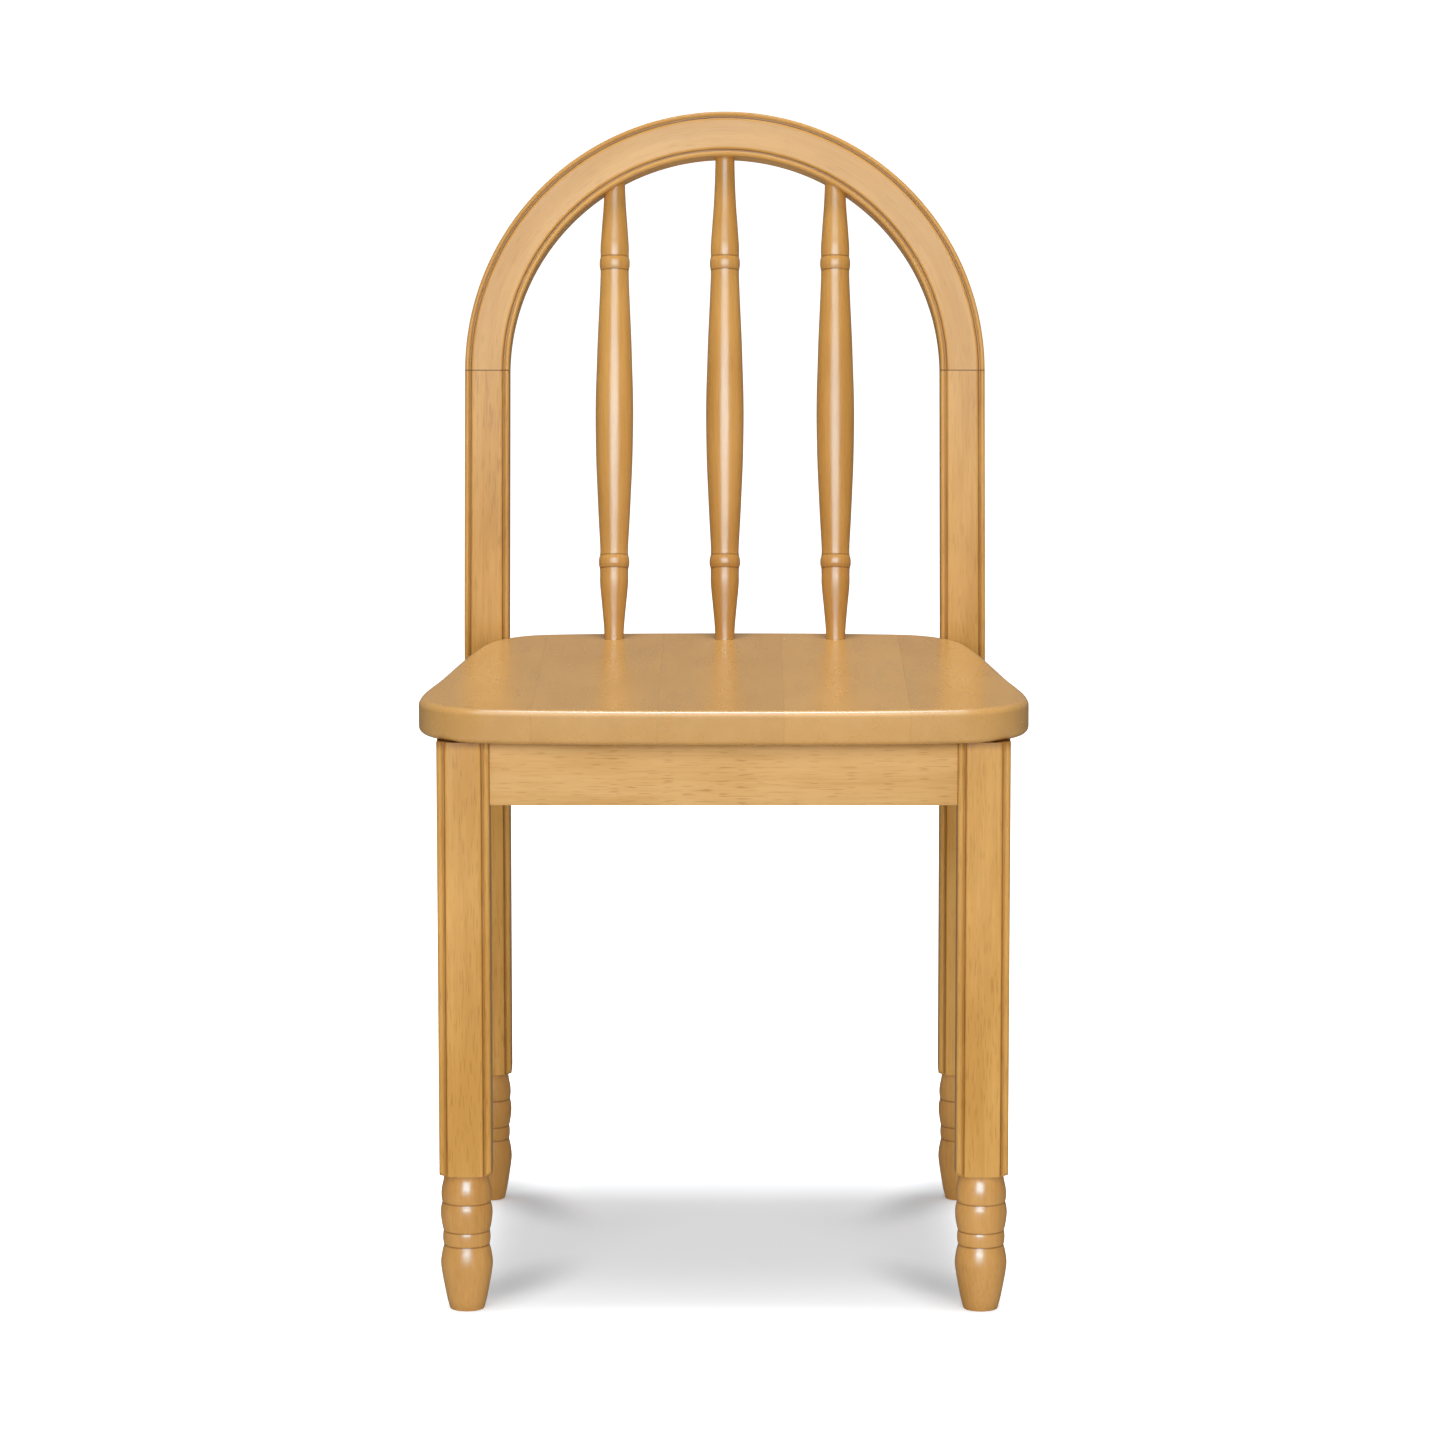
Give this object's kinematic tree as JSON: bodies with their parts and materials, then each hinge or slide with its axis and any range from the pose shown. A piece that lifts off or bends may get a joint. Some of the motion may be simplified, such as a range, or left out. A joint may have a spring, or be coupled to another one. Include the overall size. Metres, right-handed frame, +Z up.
{
  "type": "spindle back chair",
  "caption": "Armless dining chair with a rounded solid seat, a raked arched back on beaded posts, turned spindles, and square legs ending in turned feet.",
  "frame": {"origin": "on the floor, at the middle of the chair's width and of its whole depth, from the seat's front edge to the back of the bow", "axes": "+Z up, the chair's front faces -Y, +X is the right-hand side as seen from the front"},
  "size_m": [0.449, 0.492, 0.8611],
  "materials": {
    "seat_wood": "satin lacquer",
    "leg_wood": "satin lacquer",
    "bow_wood": "satin lacquer",
    "spindle_wood": "gloss lacquer",
    "apron_wood": "satin lacquer",
    "block_wood": "sawn and sealed",
    "dowel_wood": "bare",
    "screw_steel": "zinc plated"
  },
  "bodies": {
    "root": {"back_apron": "apron_wood", "back_apron_dowel_left_lower": "dowel_wood", "back_apron_dowel_left_upper": "dowel_wood", "back_apron_dowel_right_lower": "dowel_wood", "back_apron_dowel_right_upper": "dowel_wood", "back_bow": "bow_wood", "back_post_left": "leg_wood", "back_post_right": "leg_wood", "bow_dowel_left_inner": "dowel_wood", "bow_dowel_left_outer": "dowel_wood", "bow_dowel_right_inner": "dowel_wood", "bow_dowel_right_outer": "dowel_wood", "corner_block_back_left": "block_wood", "corner_block_back_right": "block_wood", "corner_block_front_left": "block_wood", "corner_block_front_right": "block_wood", "front_apron": "apron_wood", "front_apron_dowel_left_lower": "dowel_wood", "front_apron_dowel_left_upper": "dowel_wood", "front_apron_dowel_right_lower": "dowel_wood", "front_apron_dowel_right_upper": "dowel_wood", "front_leg_left": "leg_wood", "front_leg_right": "leg_wood", "left_apron": "apron_wood", "left_apron_dowel_back_lower": "dowel_wood", "left_apron_dowel_back_upper": "dowel_wood", "left_apron_dowel_front_lower": "dowel_wood", "left_apron_dowel_front_upper": "dowel_wood", "right_apron": "apron_wood", "right_apron_dowel_back_lower": "dowel_wood", "right_apron_dowel_back_upper": "dowel_wood", "right_apron_dowel_front_lower": "dowel_wood", "right_apron_dowel_front_upper": "dowel_wood", "screw_back_left_to_back_apron": "screw_steel", "screw_back_left_to_left_apron": "screw_steel", "screw_back_left_to_seat": "screw_steel", "screw_back_right_to_back_apron": "screw_steel", "screw_back_right_to_right_apron": "screw_steel", "screw_back_right_to_seat": "screw_steel", "screw_front_left_to_front_apron": "screw_steel", "screw_front_left_to_left_apron": "screw_steel", "screw_front_left_to_seat": "screw_steel", "screw_front_right_to_front_apron": "screw_steel", "screw_front_right_to_right_apron": "screw_steel", "screw_front_right_to_seat": "screw_steel", "seat": "seat_wood", "spindle_centre": "spindle_wood", "spindle_left": "spindle_wood", "spindle_right": "spindle_wood"}
  },
  "joints": []
}
